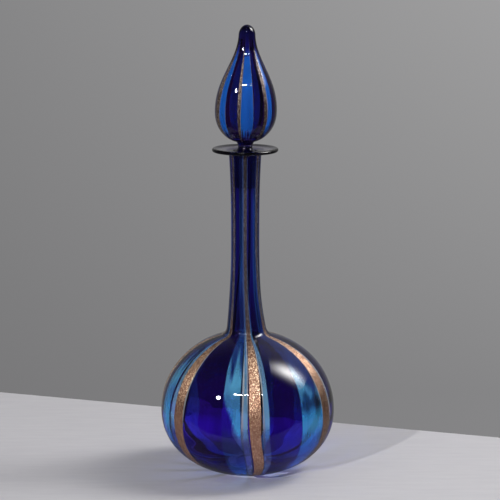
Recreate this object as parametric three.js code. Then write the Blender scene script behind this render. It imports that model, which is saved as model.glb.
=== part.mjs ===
// A stoppered carafe of blown glass, in millimetres, standing on the XY plane with +Z up.
// A clear gather is blown into a squat round bulb with a long slender neck. Strips of coloured glass
// lie side by side on it, fused from the foot to the lip: in each seventh of the turn a copper
// aventurine cane, a cobalt band and an aqua band. A thin dished lip is fused on top of the neck, and
// a hollow teardrop stopper, striped in the same way, lifts out of a ground seat in the mouth.
// Angles run from the front (-Y) towards +X.
import * as THREE from "three";

// Bulb
const BULB_RADIUS = 69.2;
const BULB_MIDDLE_Z = 51; // height of the widest ring
const BULB_CROWN_Z = 114.5; // where the upper half would close if there were no neck
const BULB_UPPER_FULLNESS = 2.04; // 2 is an ellipse, and more is squarer
const BULB_LOWER_FULLNESS = 2.13;
const FOOT_RADIUS = 16.5;
const FOOT_STEP = 0.6; // the ground foot stands this far below the coloured bands
const PONTIL_RADIUS = 9; // the polished hollow under the foot
const PONTIL_DEPTH = 1.2;

// Neck
const NECK_ROOT_RADIUS = 16.4;
const NECK_WAIST_RADIUS = 11.2;
const NECK_WAIST_Z = 192;
const NECK_TOP_RADIUS = 12.8;
const NECK_TOP_Z = 256.8;
const NECK_FLARE_POWER = 2.6; // how late the neck starts to flare, both ways from its waist
const ROOT_FILLET = 5.4; // how far the hollow corner between bulb and neck reaches along each

// Lean: the hot neck was drawn a little askew, and the finial stands back again
const NECK_LEAN = -2; // sideways, reached between these two heights
const LEAN_START_Z = 85;
const LEAN_END_Z = 150;
const FINIAL_LEAN = 1.6; // at its tip

// Glass layers
const WALL = 3.4; // bulb and neck, colour and gather together
const COLOUR_DEPTH = 1.2;
const SEAM = 0.3; // between one piece of glass and the next
const BASE_THICKNESS = 6.5;

// Lip
const LIP_RADIUS = 26.1;
const LIP_WEB = 2.8; // thickness where it joins the neck
const LIP_RIM = 2.9; // thickness of the rounded rim
const LIP_DISH = 1.9; // how far the rim's middle stands above the web's

// Ground seat and plug, both on one taper
const SEAT_MOUTH_RADIUS = 9.2;
const SEAT_SLOPE = 0.026; // radius lost for each unit of depth
const PLUG_LENGTH = 29.3; // from the mouth to the plug's end
const PLUG_CLEARANCE = 0.3;
const SEAT_RUNOUT = 2; // the seat goes on this far below the plug
const PLUG_CHAMFER = 0.8;
const PLUG_BORE_RADIUS = 3.6; // the hollow of the blown stopper is open through its plug

// Stopper, with its heights above the mouth
const COLLAR_DROP = 1; // the plug's shoulder starts this far below the mouth
const STEM_RADIUS = 5.3;
const STEM_Z = 4.4;
const FINIAL_BOTTOM_Z = 6.1;
const FINIAL_RADIUS = 24.3;
const FINIAL_BELLY_Z = 31.2;
const FINIAL_LOWER_FULLNESS = 2.15;
const FINIAL_SHOULDER_RADIUS = 6.6; // where the drawn-out point ends in its rounded tip
const FINIAL_SHOULDER_Z = 90;
const FINIAL_TOP_Z = 98.4;
const FINIAL_ROOT_RADIUS = 6.8; // the bands start here, round the stem
const FINIAL_WALL = 3.4; // colour and core together
const FINIAL_HOLLOW_BOTTOM_Z = 11;
const FINIAL_HOLLOW_TOP_Z = 82;
const TIP_RADIUS = 5; // the bands end here, under the tip

// Stripes: widths and offsets in degrees, in the order in which they come round
const UNITS = 7; // each has a cane, a cobalt band and an aqua band
const CANE_NECK_DEG = 13;
const CANE_BULB_DEG = 8;
const AQUA_NECK_DEG = 15;
const AQUA_BULB_DEG = 18;
const CANE_DRIFT_DEG = [5, 12.5, 15.5, 19, 29, 13, -0.5]; // of each on the bulb, where the glass swelled
const SHOULDER_DRAW_POWER = 4; // how late the canes widen towards the neck
const FOOT_DRAW_POWER = 2; // and towards the foot
const FINIAL_UNITS = 7; // each has a cane, an aqua band and a cobalt band
const FINIAL_START_DEG = -12.7;
const FINIAL_DRIFT_DEG = [0, 1, -1, 2, -1, 1, -0.5];
const FINIAL_CANE_DEG = 8.5;
const FINIAL_AQUA_DEG = [24, 13, 19, 15, 21, 14, 16];

// Facets
const LOWER_STEPS = 7;
const UPPER_STEPS = 8;
const FILLET_STEPS = 2;
const NECK_STEPS = 9;
const BELLY_STEPS = 5;
const TAPER_STEPS = 8;
const TIP_STEPS = 3;
const RIM_STEPS = 5;
const SHOULDER_STEPS = 4;
const HOLLOW_STEPS = 7;
const STRIPE_FACETS = [1, 3, 2];
const FINIAL_STRIPE_FACETS = [1, 2, 2];
const LIP_FACETS = 40;
const STOPPER_FACETS = 28;

const point = (r, z) => new THREE.Vector2(r, z);
const radians = THREE.MathUtils.degToRad;
const { lerp, smoothstep } = THREE.MathUtils;

const glass = (color, opacity) =>
  new THREE.MeshStandardMaterial({ color, opacity, transparent: opacity < 1, roughness: 0.05, metalness: 0 });
const CLEAR = glass(0xdfe9ee, 0.35);
const COBALT = glass(0x1c0a78, 0.8);
const AQUA = glass(0x2f8fc4, 0.6);
const AVENTURINE = new THREE.MeshStandardMaterial({ color: 0xa06c4c, roughness: 0.3, metalness: 0.55 });

function mesh(name, geometry, material) {
  const made = new THREE.Mesh(geometry, material);
  made.name = name;
  return made;
}

// A closed outline turned round the Z axis. Points run from the axis or the inside, under and out.
function turned(outline, facets) {
  return new THREE.LatheGeometry(outline, facets).rotateX(Math.PI / 2);
}

// The same, with the facets of each point of the outline between the angles that its list gives, so
// that they lie flat behind the strips' facets.
function turnedBehind(outline, lists) {
  const facets = lists[0].length - 1;
  const geometry = turned(outline, facets);
  const { position } = geometry.attributes;
  for (let k = 0; k <= facets; k++)
    outline.forEach((p, j) => {
      const angle = lists[j][k];
      position.setXYZ(k * outline.length + j, p.x * Math.sin(angle), -p.x * Math.cos(angle), p.y);
    });
  return geometry;
}

// The outline moved into the glass by depth, square to itself. It runs up the outside of the piece.
function inset(outline, depth) {
  return outline.map((p, i) => {
    const before = outline[Math.max(i - 1, 0)];
    const after = outline[Math.min(i + 1, outline.length - 1)];
    const along = after.clone().sub(before).normalize();
    return point(p.x - along.y * depth, p.y + along.x * depth);
  });
}

// The surface that lies a seam behind the coloured strips. Below its widest ring it stays outside a
// least radius, where it comes down past the strips' lower ends.
function behind(outline, widestZ, least) {
  const clear = (p) => (p.y < widestZ ? Math.max(p.x, least) : p.x);
  return inset(outline, COLOUR_DEPTH + SEAM).map((p) => point(clear(p), p.y));
}

// A point on a quarter of a full ellipse, at an angle from its widest ring (0) to the axis (a right
// angle). Its height is up to reach above the middle, or below it where reach is negative.
function swell(radius, middle, reach, fullness, angle) {
  const power = 2 / fullness;
  return point(radius * Math.cos(angle) ** power, middle + reach * Math.sin(angle) ** power);
}

// The angle at which such a quarter has narrowed to a share of its radius, and its share of the reach there.
const swellAngle = (share, fullness) => Math.acos(share ** (fullness / 2));
const swellReach = (share, fullness) => (1 - share ** fullness) ** (1 / fullness);

// Outer surface of the bulb and neck, from the foot to the underside of the lip.
function lowerBulb() {
  const start = (FOOT_RADIUS + SEAM) / BULB_RADIUS;
  const depth = (BULB_MIDDLE_Z - FOOT_STEP) / swellReach(start, BULB_LOWER_FULLNESS);
  const first = swellAngle(start, BULB_LOWER_FULLNESS);
  return Array.from({ length: LOWER_STEPS }, (_, i) =>
    swell(BULB_RADIUS, BULB_MIDDLE_Z, -depth, BULB_LOWER_FULLNESS, first * (1 - i / LOWER_STEPS)),
  );
}

function neckRadius(z, rootZ) {
  const down = z < NECK_WAIST_Z;
  const share = (z - NECK_WAIST_Z) / ((down ? rootZ : NECK_TOP_Z) - NECK_WAIST_Z);
  const flare = (down ? NECK_ROOT_RADIUS : NECK_TOP_RADIUS) - NECK_WAIST_RADIUS;
  return NECK_WAIST_RADIUS + flare * share ** NECK_FLARE_POWER;
}

function bottleOutline() {
  const rise = BULB_CROWN_Z - BULB_MIDDLE_Z;
  const crown = (r) => BULB_MIDDLE_Z + rise * swellReach(r / BULB_RADIUS, BULB_UPPER_FULLNESS);
  const last = swellAngle((NECK_ROOT_RADIUS + ROOT_FILLET) / BULB_RADIUS, BULB_UPPER_FULLNESS);
  const upper = Array.from({ length: UPPER_STEPS }, (_, i) =>
    swell(BULB_RADIUS, BULB_MIDDLE_Z, rise, BULB_UPPER_FULLNESS, (last * i) / UPPER_STEPS),
  );
  const rootZ = crown(NECK_ROOT_RADIUS);
  const neckZ = rootZ + ROOT_FILLET;
  const fillet = new THREE.QuadraticBezierCurve(
    point(NECK_ROOT_RADIUS + ROOT_FILLET, crown(NECK_ROOT_RADIUS + ROOT_FILLET)),
    point(NECK_ROOT_RADIUS, rootZ),
    point(neckRadius(neckZ, rootZ), neckZ),
  ).getPoints(FILLET_STEPS);
  const neck = Array.from({ length: NECK_STEPS }, (_, i) => {
    const z = lerp(neckZ, NECK_TOP_Z, (i + 1) / NECK_STEPS);
    return point(neckRadius(z, rootZ), z);
  });
  return [...lowerBulb(), ...upper, ...fillet, ...neck];
}

// Outer surface of the finial above the mouth, from the stem to under the tip.
function finialOutline() {
  const depth = FINIAL_BELLY_Z - FINIAL_BOTTOM_Z;
  const first = swellAngle(FINIAL_ROOT_RADIUS / FINIAL_RADIUS, FINIAL_LOWER_FULLNESS);
  const belly = Array.from({ length: BELLY_STEPS }, (_, i) =>
    swell(FINIAL_RADIUS, FINIAL_BELLY_Z, -depth, FINIAL_LOWER_FULLNESS, first * (1 - i / BELLY_STEPS)),
  );
  const climb = FINIAL_SHOULDER_Z - FINIAL_BELLY_Z;
  const taper = new THREE.CubicBezierCurve(
    point(FINIAL_RADIUS, FINIAL_BELLY_Z),
    point(FINIAL_RADIUS, FINIAL_BELLY_Z + climb * 0.46),
    point(FINIAL_SHOULDER_RADIUS * 1.2, FINIAL_SHOULDER_Z - climb * 0.35),
    point(FINIAL_SHOULDER_RADIUS, FINIAL_SHOULDER_Z),
  ).getPoints(TAPER_STEPS);
  return [...belly, ...taper, tipPoint(Math.acos(TIP_RADIUS / FINIAL_SHOULDER_RADIUS))];
}

// A point of the rounded tip, at an angle from its shoulder (0) to its top (a right angle).
function tipPoint(a) {
  const rise = FINIAL_TOP_Z - FINIAL_SHOULDER_Z;
  return point(FINIAL_SHOULDER_RADIUS * Math.cos(a), FINIAL_SHOULDER_Z + rise * Math.sin(a));
}

// A strip of glass that follows an outline and lies between two angles at each of its points. Its
// lower end stands upright.
function strip(outer, edges, facets) {
  const inner = inset(outer, COLOUR_DEPTH);
  inner[0].x = outer[0].x;
  const around = [];
  const at = (p, angle) => [p.x * Math.sin(angle), -p.x * Math.cos(angle), p.y];
  outer.forEach((p, i) => {
    const [from, to] = edges(i);
    const across = (side, k) => {
      const trim = SEAM / 2 / side[i].x;
      return at(side[i], lerp(from + trim, to - trim, k / facets));
    };
    for (let k = 0; k <= facets; k++) around.push(across(outer, k));
    for (let k = facets; k >= 0; k--) around.push(across(inner, k));
  });
  const loop = 2 * (facets + 1);
  const faces = [];
  const quad = (a, b, c, d) => faces.push(a, b, c, a, c, d);
  for (let i = 0; i + 1 < outer.length; i++)
    for (let k = 0; k < loop; k++) {
      const next = (k + 1) % loop;
      quad(i * loop + k, i * loop + next, (i + 1) * loop + next, (i + 1) * loop + k);
    }
  const last = (outer.length - 1) * loop;
  for (let k = 0; k < facets; k++) {
    const inside = loop - 1 - k;
    quad(k, inside, inside - 1, k + 1);
    quad(last + k, last + k + 1, last + inside - 1, last + inside);
  }
  const geometry = new THREE.BufferGeometry();
  geometry.setAttribute("position", new THREE.Float32BufferAttribute(around.flat(), 3));
  geometry.setIndex(faces);
  return geometry;
}

// A layout says how a surface is striped. Its kinds of stripe repeat in each unit, and
// edges(unit, i) gives the angles that bound them there, at point i of the surface's outline.
function stripes(group, prefix, outline, layout) {
  for (let unit = 0; unit < layout.units; unit++)
    layout.kinds.forEach((kind, n) => {
      const edges = (i) => layout.edges(unit, i).slice(n, n + 2);
      const geometry = strip(outline, edges, layout.facets[n]);
      group.add(mesh(`${prefix}${kind.name}_${unit + 1}`, geometry, kind.material));
    });
}

// All the angles at which the strips' facets meet, at the outline's point i, once round and closed.
function facetAngles(layout, i) {
  const angles = [];
  for (let unit = 0; unit < layout.units; unit++) {
    const edges = layout.edges(unit, i);
    layout.facets.forEach((facets, n) => {
      for (let k = 0; k < facets; k++) angles.push(lerp(edges[n], edges[n + 1], k / facets));
    });
  }
  return [...angles, angles[0] + 2 * Math.PI];
}

// The middle of a cane that has drifted by a share of its drift. A unit past the last is the first
// again, a turn on.
function laid(unit, drift, share) {
  return (360 / drift.length) * unit + drift[unit % drift.length] * share;
}

const MOUTH_Z = NECK_TOP_Z + SEAM + LIP_WEB;
const seatRadius = (z) => SEAT_MOUTH_RADIUS - SEAT_SLOPE * (MOUTH_Z - z);
const SEAT_END_Z = MOUTH_Z - PLUG_LENGTH - SEAT_RUNOUT;

const CANE = { name: "aventurine_cane", material: AVENTURINE };
const COBALT_BAND = { name: "cobalt_band", material: COBALT };
const AQUA_BAND = { name: "aqua_band", material: AQUA };

const outline = bottleOutline();
const bottleLayout = {
  units: UNITS,
  kinds: [CANE, COBALT_BAND, AQUA_BAND],
  facets: STRIPE_FACETS,
  edges: (unit, i) => {
    const { x: r, y: z } = outline[i];
    const share = (BULB_RADIUS - r) / (BULB_RADIUS - NECK_WAIST_RADIUS);
    const drawn = share ** (z > BULB_MIDDLE_Z ? SHOULDER_DRAW_POWER : FOOT_DRAW_POWER);
    const half = lerp(CANE_BULB_DEG, CANE_NECK_DEG, drawn) / 2;
    const aqua = lerp(AQUA_BULB_DEG, AQUA_NECK_DEG, drawn);
    const swelled = 1 - smoothstep(z, BULB_CROWN_Z, NECK_WAIST_Z);
    const [centre, next] = [unit, unit + 1].map((n) => laid(n, CANE_DRIFT_DEG, swelled));
    return [centre - half, centre + half, next - half - aqua, next - half].map(radians);
  },
};

const finial = finialOutline();
const finialLayout = {
  units: FINIAL_UNITS,
  kinds: [CANE, AQUA_BAND, COBALT_BAND],
  facets: FINIAL_STRIPE_FACETS,
  edges: (unit) => {
    const half = FINIAL_CANE_DEG / 2;
    const [centre, next] = [unit, unit + 1].map((n) => FINIAL_START_DEG + laid(n, FINIAL_DRIFT_DEG, 1));
    return [centre - half, centre + half, centre + half + FINIAL_AQUA_DEG[unit], next - half].map(radians);
  },
};

// The clear vessel inside the colour: it stands on its ground foot and holds the seat.
function bottleGather() {
  const outside = behind(outline, BULB_MIDDLE_Z, FOOT_RADIUS);
  const cavity = inset(outline, WALL).filter((p) => p.y < SEAT_END_Z && p.y > BASE_THICKNESS);
  const pontil = new THREE.QuadraticBezierCurve(
    point(0, PONTIL_DEPTH),
    point(PONTIL_RADIUS / 2, PONTIL_DEPTH),
    point(PONTIL_RADIUS, 0),
  ).getPoints(2);
  const under = [...pontil, point(FOOT_RADIUS, 0)];
  const inside = [
    point(seatRadius(NECK_TOP_Z), outside.at(-1).y),
    point(seatRadius(SEAT_END_Z), SEAT_END_Z),
    ...cavity.reverse(),
    point(0, BASE_THICKNESS),
  ];
  const lists = [
    ...under.map(() => facetAngles(bottleLayout, 0)),
    ...outside.map((_, i) => facetAngles(bottleLayout, i)),
    ...inside.map(() => facetAngles(bottleLayout, outline.length - 1)),
  ];
  return turnedBehind([...under, ...outside, ...inside], lists);
}

// A thin dished collar with a rounded rim. The seat's taper runs on through its mouth.
function lipDisc() {
  const under = NECK_TOP_Z + SEAM;
  const rim = new THREE.Path();
  const rimRadius = LIP_RIM / 2;
  const middle = (under + MOUTH_Z) / 2 + LIP_DISH;
  rim.absarc(LIP_RADIUS - rimRadius, middle, rimRadius, -Math.PI / 2, Math.PI / 2);
  return turned(
    [
      point(seatRadius(under), under),
      point(NECK_TOP_RADIUS, under),
      ...rim.getPoints(RIM_STEPS),
      point(NECK_TOP_RADIUS, MOUTH_Z),
      point(seatRadius(MOUTH_Z), MOUTH_Z),
      point(seatRadius(under), under),
    ],
    LIP_FACETS,
  );
}

// The ground plug with the short stem that carries the finial, above and below the mouth.
function stopperPlug() {
  const fitted = (z) => seatRadius(MOUTH_Z + z) - PLUG_CLEARANCE;
  const shoulder = new THREE.QuadraticBezierCurve(
    point(fitted(-COLLAR_DROP), -COLLAR_DROP),
    point(STEM_RADIUS, STEM_Z / 2 - COLLAR_DROP),
    point(STEM_RADIUS, STEM_Z),
  ).getPoints(SHOULDER_STEPS);
  return turned(
    [
      point(PLUG_BORE_RADIUS, -PLUG_LENGTH),
      point(fitted(-PLUG_LENGTH) - PLUG_CHAMFER, -PLUG_LENGTH),
      point(fitted(PLUG_CHAMFER - PLUG_LENGTH), PLUG_CHAMFER - PLUG_LENGTH),
      ...shoulder,
      point((STEM_RADIUS + FINIAL_ROOT_RADIUS) / 2, FINIAL_BOTTOM_Z),
      point(PLUG_BORE_RADIUS, FINIAL_BOTTOM_Z),
      point(PLUG_BORE_RADIUS, -PLUG_LENGTH),
    ],
    STOPPER_FACETS,
  );
}

// The clear blown finial inside the colour. It meets the plug below and the tip above.
function finialCore() {
  const root = FINIAL_ROOT_RADIUS - SEAM;
  const under = FINIAL_BOTTOM_Z + SEAM;
  const wall = new THREE.SplineCurve(inset(finial, FINIAL_WALL)).getPoints(HOLLOW_STEPS);
  const hollow = wall.filter((p) => p.y > FINIAL_HOLLOW_BOTTOM_Z && p.y < FINIAL_HOLLOW_TOP_Z);
  const whole = [
    point(0, FINIAL_HOLLOW_TOP_Z),
    ...hollow.reverse(),
    point(PLUG_BORE_RADIUS, FINIAL_HOLLOW_BOTTOM_Z),
    point(PLUG_BORE_RADIUS, under),
    point(root, under),
    ...behind(finial, FINIAL_BELLY_Z, root),
  ];
  whole.push(point(0, whole.at(-1).y));
  return turnedBehind(whole, whole.map(() => facetAngles(finialLayout, 0)));
}

// The drop of cobalt glass where the bands are drawn together.
function finialTip() {
  const core = inset(finial, COLOUR_DEPTH + SEAM).at(-1);
  const under = Math.max(core.y, finial.at(-1).y) + SEAM;
  const first = Math.asin((under - FINIAL_SHOULDER_Z) / (FINIAL_TOP_Z - FINIAL_SHOULDER_Z));
  const dome = Array.from({ length: TIP_STEPS }, (_, i) => tipPoint(lerp(first, Math.PI / 2, i / TIP_STEPS)));
  return turned([point(0, under), ...dome, point(0, FINIAL_TOP_Z)], STOPPER_FACETS);
}

// How far the glass has strayed sideways at a height.
function lean(z) {
  const above = Math.max(z - MOUTH_Z, 0) / FINIAL_TOP_Z;
  return NECK_LEAN * smoothstep(z, LEAN_START_Z, LEAN_END_Z) + FINIAL_LEAN * above;
}

// Moves each mesh's points sideways by the lean at their height.
function leaned(group) {
  for (const { geometry } of group.children) {
    const { position } = geometry.attributes;
    for (let i = 0; i < position.count; i++)
      position.setX(i, position.getX(i) + lean(position.getZ(i) + group.position.z));
  }
  return group;
}

function makeBottle() {
  const bottle = new THREE.Group();
  bottle.add(mesh("bottle_gather", bottleGather(), CLEAR), mesh("lip_disc", lipDisc(), CLEAR));
  stripes(bottle, "", outline, bottleLayout);
  return leaned(bottle);
}

function makeStopper() {
  const stopper = new THREE.Group();
  stopper.add(
    mesh("stopper_plug", stopperPlug(), CLEAR),
    mesh("finial_core", finialCore(), CLEAR),
    mesh("finial_tip", finialTip(), COBALT),
  );
  stripes(stopper, "finial_", finial, finialLayout);
  stopper.position.z = MOUTH_Z;
  return leaned(stopper);
}

const carafe = new THREE.Group();
carafe.add(makeBottle(), makeStopper());

export default carafe;
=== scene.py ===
"""Looks for a blown glass carafe: banded glass, glittering canes, a pale table and soft studio light."""
import math

import bpy
import numpy as np
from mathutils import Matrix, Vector


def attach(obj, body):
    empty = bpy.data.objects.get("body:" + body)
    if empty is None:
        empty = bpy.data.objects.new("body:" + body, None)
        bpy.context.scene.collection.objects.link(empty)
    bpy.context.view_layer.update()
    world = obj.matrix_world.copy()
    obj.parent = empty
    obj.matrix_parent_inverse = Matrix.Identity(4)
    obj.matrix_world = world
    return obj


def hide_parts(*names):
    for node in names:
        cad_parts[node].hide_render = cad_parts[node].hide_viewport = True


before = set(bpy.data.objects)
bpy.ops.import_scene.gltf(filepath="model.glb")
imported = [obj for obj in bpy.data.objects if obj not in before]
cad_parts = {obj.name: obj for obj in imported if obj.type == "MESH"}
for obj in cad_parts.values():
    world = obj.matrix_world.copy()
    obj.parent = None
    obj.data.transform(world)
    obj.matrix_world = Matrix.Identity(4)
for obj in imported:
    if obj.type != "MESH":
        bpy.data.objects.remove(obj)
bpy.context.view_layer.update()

MM = 0.001

# Linear colours of the bottle's bands, as light has them that went through both walls. Each list has
# (height in millimetres, colour). The rises and falls by height in the cobalt, aqua, clear and pale lists
# are painted light and shade, from what shows through the glass and how light falls on it.
CLEAR_AS_LIT = [
    (14, (0.20, 0.32, 0.75)), (26, (0.14, 0.18, 0.50)), (40, (0.07, 0.07, 0.19)), (48, (0.15, 0.17, 0.28)),
    (56, (0.42, 0.43, 0.48)), (66, (0.48, 0.50, 0.52)), (80, (0.66, 0.68, 0.70)), (100, (0.60, 0.62, 0.68)),
    (122, (0.10, 0.12, 0.22)), (135, (0.16, 0.30, 0.50)), (185, (0.12, 0.20, 0.42)),
]
LINE = [(100, (0.03, 0.05, 0.10)), (125, (0.02, 0.012, 0.20))]
AQUA_NECK_AS_LIT = [
    (122, (0.02, 0.07, 0.36)), (170, (0.03, 0.12, 0.50)), (212, (0.03, 0.12, 0.50)),
    (236, (0.02, 0.04, 0.22)),
]
AQUA_AS_LIT = [
    (3, (0.06, 0.36, 0.85)), (14, (0.025, 0.15, 0.85)), (26, (0.03, 0.14, 0.75)), (38, (0.045, 0.28, 0.95)),
    (50, (0.07, 0.50, 1.0)), (62, (0.07, 0.44, 0.90)), (72, (0.08, 0.34, 0.68)), (84, (0.13, 0.52, 0.82)),
    (105, (0.09, 0.37, 0.70)), *AQUA_NECK_AS_LIT,
]
# The fingers' deep blue: a painted view of the far side's bands through the aqua.
SEEN_THROUGH_AQUA = [(105, (0.014, 0.05, 0.36)), *AQUA_NECK_AS_LIT]
PALE_AS_LIT = [
    (14, (0.30, 0.42, 0.90)), (24, (0.16, 0.20, 0.65)), (33, (0.09, 0.11, 0.42)), (41, (0.05, 0.055, 0.24)),
    (49, (0.12, 0.28, 0.60)), (56, (0.26, 0.54, 0.80)), (80, (0.24, 0.50, 0.72)), (92, (0.20, 0.40, 0.62)),
    (118, (0.08, 0.28, 0.62)), (130, (0.02, 0.02, 0.30)),
]
COBALT_AS_LIT = [
    (5, (0.008, 0.003, 0.14)), (26, (0.018, 0.003, 0.30)), (42, (0.028, 0.002, 0.38)),
    (50, (0.034, 0.002, 0.46)), (58, (0.030, 0.002, 0.34)), (64, (0.020, 0.003, 0.18)),
    (70, (0.016, 0.003, 0.11)), (98, (0.016, 0.005, 0.12)), (118, (0.012, 0.003, 0.09)),
    (170, (0.020, 0.009, 0.36)),
]
BAND_COLOURS = {"cane": COBALT_AS_LIT, "clear": CLEAR_AS_LIT, "line": LINE, "pale": PALE_AS_LIT, "cobalt": COBALT_AS_LIT, "aqua": AQUA_AS_LIT}

# How milky each kind of band is. Near the foot it is less so, from one height to another, and so are
# the deep blue places of an aqua band.
HAZE = {"cane": 0.0, "clear": 0.4, "line": 0.0, "pale": 0.35, "cobalt": 0.0, "aqua": 0.35}
HAZE_AT_FOOT = 0.3
HAZE_RISE = (12, 40)
DEEP_HAZE_LOSS = 0.7

# The last unit's cobalt band has a painted violet glow, a caustic of light through the bulb. It comes and
# goes between these heights, and it is strongest at a share of the band's width.
PAINTED_CAUSTIC = (0.07, 0.006, 1.0)
PAINTED_CAUSTIC_STARTS = (40, 50)
PAINTED_CAUSTIC_ENDS = (53, 64)
PAINTED_CAUSTIC_MIDDLE = 0.45
PAINTED_CAUSTIC_REACH = 0.6

# The other parts of the glass. The low rim's near black and the mouth's dark blue are painted shade.
ZONE_COLOURS = {
    "foot": (0.03, 0.03, 0.20),
    "under lip": (0.52, 0.49, 0.62),
    "low rim": (0.012, 0.010, 0.020),
    "lip": (0.62, 0.59, 0.72),
    "mouth": (0.05, 0.04, 0.22),
    "inside": (0.97, 0.98, 1.0),
    "plug": (0.045, 0.03, 0.17),
}

FINIAL_CLEAR = (0.42, 0.43, 0.50)
FINIAL_AQUA = (0.018, 0.22, 0.95)
FINIAL_DEEP = (0.02, 0.02, 0.42)
FINIAL_COBALT = (0.028, 0.004, 0.11)
FINIAL_TIP = (0.012, 0.009, 0.14)
FINIAL_HAZE = 0.36

# Where one colour of the finial gives way to another: the tip's glass and the dark aqua by height from
# the shoulder, and the root's dark glass by height from where it ends, which varies above the bottom.
# A share of the aqua shows through the tip's glass.
TIP_FADE = (-16, 4)
AQUA_FADE = (-20, -8)
ROOT_REACH = (2, 10)
ROOT_FADE = (-1, 4)
FINIAL_AQUA_LEFT = 0.2

# How far deep blue fingers reach down from the neck, across each unit's aqua bands, by height. They are
# a painted view of the bands of the bulb's far side, seen through the glass.
FINGERS = [
    (88, 92, 84, 78, 74, 70, 77),
    (90, 80, 94, 84),
    (46, 53, 41, 50, 38, 47),
    (96, 84, 100, 88),
    (92, 100, 84, 98),
    (95, 80, 101, 84, 98),
    (99, 100, 88, 86, 102, 104, 93, 90),
]
FINGER_FADE = (-3, 9)

# Darker places painted into two units' aqua bands: the far side's bands and the shade under the bulb, as
# seen through the glass. By unit: the heights of their upper end and of their lower end across the band,
# and their colour by height.
DARK_SEEN_THROUGH = {
    0: (
        (66, 78, 70, 77, 67), (64, 60, 64, 60, 65),
        [(64, (0.03, 0.08, 0.20)), (76, (0.03, 0.10, 0.26))],
    ),
    6: (
        (76, 72, 67, 64, 57, 50, 47, 46), (23, 22, 21, 20, 20, 21, 22, 23),
        [(22, (0.03, 0.06, 0.50)), (34, (0.03, 0.055, 0.29)), (46, (0.035, 0.05, 0.34)),
         (56, (0.03, 0.012, 0.50))],
    ),
}
DARK_SEEN_TOP_FADE = (-2, 2)
DARK_SEEN_END_FADE = (-4, 4)

# Sizes of the solids, in millimetres.
BULB_RADIUS = 69.2
BULB_MIDDLE_Z = 51
BULB_CROWN_Z = 114.5
UPPER_FULLNESS = 2.04
LOWER_FULLNESS = 2.13
FOOT_RADIUS = 16.5
FOOT_ROUNDING = 0.7
FOOT_EDGE_Z = 0.12
BAND_START_RADIUS = 16.8
FOOT_STEP = 0.6
PONTIL_RADIUS = 9
PONTIL_FLAT_RADIUS = 5
PONTIL_DEPTH = 1.2
PONTIL_EDGE_Z = 0.05
GROUND_EDGE = 0.5
NECK_ROOT_RADIUS = 16.4
NECK_WAIST_RADIUS = 11.2
NECK_WAIST_Z = 192
NECK_TOP_RADIUS = 12.8
NECK_TOP_Z = 256.8
NECK_FLARE_POWER = 2.6
ROOT_FILLET = 5.4
NECK_LEAN = -2
LEAN_START_Z = 85
LEAN_END_Z = 150
FINIAL_LEAN = 1.6
WALL = 3.4
BASE_THICKNESS = 6.5
CAVITY_EDGE = 0.15
MOUTH_Z = 259.9
CAVITY_TOP_Z = MOUTH_Z - 32.4
LIP_RADIUS = 26.1
LIP_RIM = 1.45
LIP_RIM_Z = MOUTH_Z + 0.5
LIP_RIM_CENTRE = LIP_RADIUS - LIP_RIM
SEAT_RADIUS = 9.2
SEAT_SLOPE = 0.026
SEAT_EDGE_Z = MOUTH_Z - 1
SEAT_TOP_Z = MOUTH_Z - 2.4
SEAT_END_Z = MOUTH_Z - 30.9
PLUG_LENGTH = 29.3
PLUG_CLEARANCE = 0.3
PLUG_BORE = 3.6
PLUG_CHAMFER = 0.7
PLUG_END_Z = MOUTH_Z - PLUG_LENGTH
STEM_RADIUS = 5.3
FINIAL_HEIGHT = 98.4
FINIAL_RADIUS = 24.3
FINIAL_ROOT_RADIUS = 6.8
FINIAL_FULLNESS = 2.15
FINIAL_BOTTOM_Z = MOUTH_Z + 6.1
FINIAL_BELLY_Z = MOUTH_Z + 31.2
FINIAL_SHOULDER_Z = MOUTH_Z + 90
FINIAL_SHOULDER_RADIUS = 6.6
FINIAL_TOP_Z = MOUTH_Z + FINIAL_HEIGHT
FINIAL_WALL = 3.4
FINIAL_HOLLOW_LOW_Z = MOUTH_Z + 11
FINIAL_HOLLOW_TOP_Z = MOUTH_Z + 82
FINIAL_HOLLOW_WALL_SPAN = (FINIAL_HOLLOW_LOW_Z + 0.5, FINIAL_HOLLOW_TOP_Z - 3)
BORE_SPAN = (FINIAL_HOLLOW_LOW_Z - 5, PLUG_END_Z + 1)
PLUG_SIDE_SPAN = (PLUG_END_Z + 2, MOUTH_Z - 1.2)

# Points and control points of the curves that join them, as (radius, height).
LIP_UNDERSIDE = [
    (NECK_TOP_RADIUS + 0.1, NECK_TOP_Z + 0.2), (NECK_TOP_RADIUS + 0.6, NECK_TOP_Z + 0.6),
    (NECK_TOP_RADIUS + 4.7, NECK_TOP_Z + 0.6), (LIP_RIM_CENTRE - 1, LIP_RIM_Z - LIP_RIM),
]
LIP_DISH = [
    (LIP_RIM_CENTRE - 1, LIP_RIM_Z + LIP_RIM - 0.06), (SEAT_RADIUS + 9.8, MOUTH_Z + 1.1),
    (SEAT_RADIUS + 5.8, MOUTH_Z + 0.05), (SEAT_RADIUS + 1.4, MOUTH_Z - 0.05),
]
MOUTH_EDGE = [(SEAT_RADIUS + 1, MOUTH_Z - 0.1), (SEAT_RADIUS + 0.1, MOUTH_Z - 0.15)]
FINIAL_HOLLOW_TOP = [(0, FINIAL_HOLLOW_TOP_Z), (1.6, FINIAL_HOLLOW_TOP_Z - 0.8)]
FINIAL_HOLLOW_FLOOR = [
    (11, FINIAL_HOLLOW_LOW_Z + 0.2), (5.5, FINIAL_HOLLOW_LOW_Z - 0.6), (PLUG_BORE, FINIAL_HOLLOW_LOW_Z - 2.5),
]
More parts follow.
